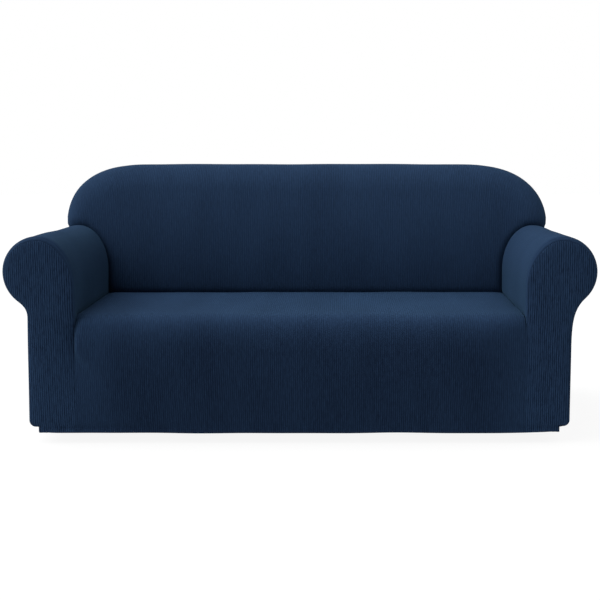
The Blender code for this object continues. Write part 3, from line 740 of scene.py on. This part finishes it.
def clothPiece(name, points, faces, step, carry):
    # closed sheet: the outer face ends in two added rows that roll into the seam, the inner face lies
    # one thickness behind it, and a wall joins them
    rim, owner = rimEdges(faces)
    inward = np.cross(cellNormals(points, faces)[owner], points[rim[:, 1]] - points[rim[:, 0]])
    inward /= np.linalg.norm(inward, axis=1)[:, None]
    total = np.zeros_like(points)
    for end in (0, 1):
        np.add.at(total, rim[:, end], inward)
    length = np.linalg.norm(total, axis=1)
    onRim = length > 0
    total[onRim] *= (2.0 / np.maximum(length[onRim], 1.0) / length[onRim])[:, None]

    outerPoints = points + step * slowWaves(points)[:, None]
    reach, depth = drape["lipReach"], drape["lipDepth"]
    inner = outerPoints + total * reach[2]
    sunk = step[onRim] * lipShare(points[onRim])
    rings = [outerPoints[onRim] + total[onRim] * reach[n] - sunk * depth[n] for n in (1, 0)]
    outer = np.vstack([inner, *rings])
    allSteps = np.vstack([step, step[onRim], step[onRim]])
    rings = [np.full(len(points), -1), np.full(len(points), -1)]
    for n, ring in enumerate(rings):
        ring[onRim] = len(points) + n * onRim.sum() + np.arange(onRim.sum())
    a, b = rim[:, 0], rim[:, 1]
    first = np.stack([b, a, rings[0][a], rings[0][b]], axis=-1)
    second = np.stack([rings[0][b], rings[0][a], rings[1][a], rings[1][b]], axis=-1)
    outerFaces = np.vstack([faces, first, second])

    count = len(outer)
    wall = np.stack([rings[1][b], rings[1][a], rings[1][a] + count, rings[1][b] + count], axis=-1)
    everyFace = np.vstack([outerFaces, outerFaces[:, ::-1] + count, wall])
    everyPoint = np.vstack([outer, outer - allSteps * cover["thickness"]])

    mesh = bpy.data.meshes.new(name)
    mesh.from_pydata((everyPoint + carry).tolist(), [], everyFace.tolist())
    smooth = np.ones(len(everyFace), bool)
    smooth[-len(wall) :] = False
    mesh.polygons.foreach_set("use_smooth", smooth)
    coordinates = np.tile(knitCoordinates(name, outer), (2, 1))
    layer = mesh.uv_layers.new(name="knit")
    layer.data.foreach_set("uv", coordinates[everyFace.reshape(-1)].reshape(-1))
    mesh.update()
    piece = bpy.data.objects.new(name + "_cloth", mesh)
    bpy.context.scene.collection.objects.link(piece)
    return piece


knit = {
    "ribPitch": 0.0071,
    "ribHeight": 0.0009,
    "ribMiddle": 0.45,  # the mean of the broken ribs' height
    "bump": (0.35, 0.5),  # its strength, and what is added as the ribs show more
    "sway": (9.0, 5.0),  # noise steps for each metre across the ribs and along them
    "swayReach": 0.006,
    "dashLength": 0.012,
    "dashHeight": (0.35, 1.2),  # least height, and the noise's share
    "stitchPitch": 0.0022,
    "stitchHeight": 0.05,
    "shade": (7.0, 2.2),
    "shadeTone": 0.35,
    "streakWidth": 0.0048,
    "streakLength": 0.034,
    "streakTone": 1.1,
    "paintedShadeAlong": (0.27, 0.45),  # painted shade on the seat's drop: heights from full shade up to none, and its darker tone
    "paintedShadeTone": (-0.30, 0.0),
    "paintedShadeAcross": (0.56, 0.75),  # where the painted shade fades towards the arms, and what is left of it
    "paintedShadeShare": (1.0, 0.35),
    "groove": (0.0050, 0.0105, 0.0255),
    "ridge": (0.0155, 0.0340, 0.0745),
    "roughness": 0.90,
    "specular": 0.02,
    "sheen": 0.03,
    "sheenRoughness": 0.5,
    "sheenTint": (0.30, 0.75, 1.00),
}

# how strongly the ribs show on each panel: they open where the knit is stretched most. The second number
# makes the whole panel lighter: partly the lighter yarn that shows where the knit is stretched, partly
# painted light on panels the lamps leave too dark
ribShowAndPaintedLight = {
    "cover_back": (0.42, 0.12),
    "cover_rear": (0.50, 0.0),
    "cover_seat": (0.40, 0.06),
    "cover_arm": (0.22, 0.0),
    "cover_arm_front": (1.00, 0.10),
}


def knitMaterial(slotName, show, stretchAndPaintedLight):
    # a cosine across the ribs, broken by noise along them, sets the bump and mixes two yarn colours
    material = bpy.data.materials.new(slotName)
    material.use_nodes = True
    tree = material.node_tree
    nodes, links = tree.nodes, tree.links
    shader = nodes["Principled BSDF"]
    uv = nodes.new("ShaderNodeUVMap")
    uv.uv_map = "knit"
    split = nodes.new("ShaderNodeSeparateXYZ")
    links.new(uv.outputs["UV"], split.inputs[0])
    u, v = split.outputs[0], split.outputs[1]

    def calculate(operation, first, second=None, third=None):
        # one step of arithmetic on plain numbers or on the outputs of other nodes
        node = nodes.new("ShaderNodeMath")
        node.operation = operation
        for socket, value in zip(node.inputs, (first, second, third)):
            if value is None:
                continue
            if isinstance(value, (int, float)):
                socket.default_value = value
            else:
                links.new(value, socket)
        return node.outputs[0]

    def noise(stepsAcross, stepsAlong, detail=1.0):
        # so many steps for each metre across the ribs and along them
        joined = nodes.new("ShaderNodeCombineXYZ")
        links.new(calculate("MULTIPLY", u, stepsAcross), joined.inputs[0])
        links.new(calculate("MULTIPLY", v, stepsAlong), joined.inputs[1])
        texture = nodes.new("ShaderNodeTexNoise")
        texture.noise_dimensions = "2D"
        texture.inputs["Scale"].default_value = 1.0
        texture.inputs["Detail"].default_value = detail
        links.new(joined.outputs[0], texture.inputs["Vector"])
        return texture.outputs["Fac"]

    def smoothRange(value, source, target):
        # from the first of target to the last, level at both ends
        node = nodes.new("ShaderNodeMapRange")
        node.interpolation_type = "SMOOTHSTEP"
        links.new(value, node.inputs["Value"])
        for socket, number in zip(("From Min", "From Max", "To Min", "To Max"), source + target):
            node.inputs[socket].default_value = number
        return node.outputs["Result"]

    def centred(value, middle):
        # the value less its middle
        return calculate("SUBTRACT", value, middle)

    # ribs wander a little sideways, and each is broken into short uneven dashes
    wandered = calculate("MULTIPLY_ADD", noise(*knit["sway"]), knit["swayReach"], u)
    phase = calculate("MULTIPLY", wandered, 2.0 * math.pi / knit["ribPitch"])
    rib = calculate("MULTIPLY_ADD", calculate("COSINE", phase), 0.5, 0.5)
    dash = noise(1.0 / knit["ribPitch"], 1.0 / knit["dashLength"])
    least, share = knit["dashHeight"]
    broken = calculate("MULTIPLY", rib, calculate("MULTIPLY_ADD", dash, share, least))
    stitch = calculate("SINE", calculate("MULTIPLY", v, 2.0 * math.pi / knit["stitchPitch"]))
    height = calculate("MULTIPLY_ADD", stitch, knit["stitchHeight"], broken)

    # slow shade differences and streaks, where the knit is stretched more or less
    # painted light in part: the panel's second number lightens its whole knit, partly for stretched yarn,
    # partly to brighten panels the lamps leave too dark
    tone = calculate("MULTIPLY_ADD", centred(broken, knit["ribMiddle"]), show, 0.5 + stretchAndPaintedLight)
    slow = noise(*knit["shade"], detail=3.0)
    tone = calculate("MULTIPLY_ADD", centred(slow, 0.5), knit["shadeTone"], tone)
    streak = noise(1.0 / knit["streakWidth"], 1.0 / knit["streakLength"])
    tone = calculate("MULTIPLY_ADD", centred(streak, 0.5), knit["streakTone"] * show, tone)
    if slotName == "cover_seat":
        # painted shade: the drop below the seat's edge is coloured darker, less so at its ends by the arms
        paintedShade = smoothRange(v, knit["paintedShadeAlong"], knit["paintedShadeTone"])
        paintedShadeLeft = smoothRange(calculate("ABSOLUTE", u), knit["paintedShadeAcross"], knit["paintedShadeShare"])
        tone = calculate("MULTIPLY_ADD", paintedShade, paintedShadeLeft, tone)
    mix = nodes.new("ShaderNodeMix")
    mix.data_type = "RGBA"
    mix.clamp_factor = True
    links.new(tone, mix.inputs["Factor"])
    mix.inputs["A"].default_value = (*knit["groove"], 1.0)
    mix.inputs["B"].default_value = (*knit["ridge"], 1.0)
    links.new(mix.outputs["Result"], shader.inputs["Base Color"])

    bump = nodes.new("ShaderNodeBump")
    base, added = knit["bump"]
    bump.inputs["Strength"].default_value = base + added * show
    bump.inputs["Distance"].default_value = knit["ribHeight"]
    links.new(height, bump.inputs["Height"])
    links.new(bump.outputs["Normal"], shader.inputs["Normal"])

    shader.inputs["Roughness"].default_value = knit["roughness"]
    shader.inputs["Specular IOR Level"].default_value = knit["specular"]
    shader.inputs["Sheen Weight"].default_value = knit["sheen"]
    shader.inputs["Sheen Roughness"].default_value = knit["sheenRoughness"]
    shader.inputs["Sheen Tint"].default_value = (*knit["sheenTint"], 1.0)
    material.diffuse_color = (*knit["ridge"], 1.0)
    return material


materials = {slotName: knitMaterial(slotName, *shown) for slotName, shown in ribShowAndPaintedLight.items()}
print("knit materials made")

# cut size of each panel before it was stretched on: width, length and area
cuts = {
    "inside_back": {"slot": "cover_back", "flat": (1.70, 0.80), "area": 1.12},
    "outside_back": {"slot": "cover_rear", "flat": (1.78, 0.84), "area": 1.42},
    "seat_apron": {"slot": "cover_seat", "flat": (1.40, 1.00), "area": 1.36},
    "arm_wrap_left": {"slot": "cover_arm", "flat": (0.80, 1.28), "area": 0.83},
    "arm_wrap_right": {"slot": "cover_arm", "flat": (0.80, 1.28), "area": 0.83},
    "arm_front_left": {"slot": "cover_arm_front", "flat": (0.22, 0.60), "area": 0.092},
    "arm_front_right": {"slot": "cover_arm_front", "flat": (0.22, 0.60), "area": 0.092},
}

# from the floor's frame to the CAD's: the hem and the rear edge meet the CAD's
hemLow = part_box("arm_front_left")[0]
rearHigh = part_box("outside_back")[1]
carry = np.array([0.0, rearHigh[1] - cover["rearY"], hemLow[2] - cover["hemZ"]])

pieces = {}
for name, (points, faces) in panels.items():
    own = cuts[name]
    piece = clothPiece(name, points, faces, steps[name], carry)
    piece.data.materials.append(materials[own["slot"]])
    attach(piece, "root")
    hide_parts(name)
    pieces[name] = piece
print("panels made:", sum(len(piece.data.polygons) for piece in pieces.values()), "faces")

# the floor, the lights and the camera
studio = {
    "floorSize": 30.0,
    "floorColour": (0.08, 0.08, 0.08),
    "floorRoughness": 0.9,
    "floorGlow": 0.90,  # the floor is a light table
    "ambient": 0.11,
    "lights": {  # direction towards each light, its strength and how wide it looks, in degrees
        "key": ((-0.60, 0.05, 1.0), 2.65, 50.0),
        "side": ((-1.0, 0.20, 0.45), 2.45, 60.0),
        "front": ((-0.80, -0.60, 0.90), 1.15, 60.0),
        "rear": ((0.0, 0.70, 1.0), 0.70, 60.0),
        "right": ((0.70, 0.0, 1.0), 1.35, 50.0),
    },
    "cameraPlace": (0.138, -3.8, 1.05),  # over the floor, like the shapes
    "cameraTilt": 8.37,  # degrees below the level
    "focal": 1155.0,  # in pixels of the photo, 600 wide
    "imageSize": 600.0,
    "middleX": 341.3,  # where the lens axis meets the image
    "sensor": 36.0,
}


def makeFloor():
    # one square cell at the height of the floor
    half = studio["floorSize"] / 2
    corners = [(-half, -half, 0), (half, -half, 0), (half, half, 0), (-half, half, 0)]
    mesh = bpy.data.meshes.new("floor")
    mesh.from_pydata([tuple(np.array(corner) + carry) for corner in corners], [], [(0, 1, 2, 3)])
    mesh.update()
    floor = bpy.data.objects.new("floor", mesh)
    bpy.context.scene.collection.objects.link(floor)
    material = bpy.data.materials.new("pale_floor")
    material.use_nodes = True
    shader = material.node_tree.nodes["Principled BSDF"]
    shader.inputs["Base Color"].default_value = (*studio["floorColour"], 1.0)
    shader.inputs["Roughness"].default_value = studio["floorRoughness"]
    shader.inputs["Specular IOR Level"].default_value = 0.0
    shader.inputs["Emission Color"].default_value = (1.0, 1.0, 1.0, 1.0)
    shader.inputs["Emission Strength"].default_value = studio["floorGlow"]
    mesh.materials.append(material)


def softLight(name, direction, strength, width):
    # a far light whose wide angle makes its shadows soft
    light = bpy.data.lights.new(name, "SUN")
    light.energy = strength
    light.angle = math.radians(width)
    lamp = bpy.data.objects.new(name, light)
    lamp.rotation_euler = Vector(direction).to_track_quat("Z", "Y").to_euler()
    bpy.context.scene.collection.objects.link(lamp)


def makeWorld():
    # the camera sees white, and the cloth is lit by a softer grey
    world = bpy.data.worlds.new("studio")
    bpy.context.scene.world = world
    world.use_nodes = True
    nodes, links = world.node_tree.nodes, world.node_tree.links
    background = nodes["Background"]
    seen = nodes.new("ShaderNodeBackground")
    seen.inputs["Color"].default_value = (1.0, 1.0, 1.0, 1.0)
    seen.inputs["Strength"].default_value = 1.0
    background.inputs["Color"].default_value = (1.0, 1.0, 1.0, 1.0)
    background.inputs["Strength"].default_value = studio["ambient"]
    path = nodes.new("ShaderNodeLightPath")
    mix = nodes.new("ShaderNodeMixShader")
    links.new(path.outputs["Is Camera Ray"], mix.inputs[0])
    links.new(background.outputs[0], mix.inputs[1])
    links.new(seen.outputs[0], mix.inputs[2])
    links.new(mix.outputs[0], nodes["World Output"].inputs["Surface"])


def makeCamera():
    # the focal length in pixels over the image's width gives the lens, and the lens axis's place the shift
    data = bpy.data.cameras.new("camera")
    data.sensor_width = studio["sensor"]
    data.lens = studio["focal"] / studio["imageSize"] * data.sensor_width
    data.shift_x = (studio["imageSize"] / 2 - studio["middleX"]) / studio["imageSize"]
    camera = bpy.data.objects.new("camera", data)
    camera.location = Vector(studio["cameraPlace"]) + Vector(carry)
    camera.rotation_euler = (math.radians(90.0 - studio["cameraTilt"]), 0.0, 0.0)
    bpy.context.scene.collection.objects.link(camera)
    bpy.context.scene.camera = camera


makeFloor()
makeWorld()
for name, (direction, strength, width) in studio["lights"].items():
    softLight(name, direction, strength, width)
makeCamera()
bpy.context.scene.view_settings.view_transform = "Standard"
print("studio made")
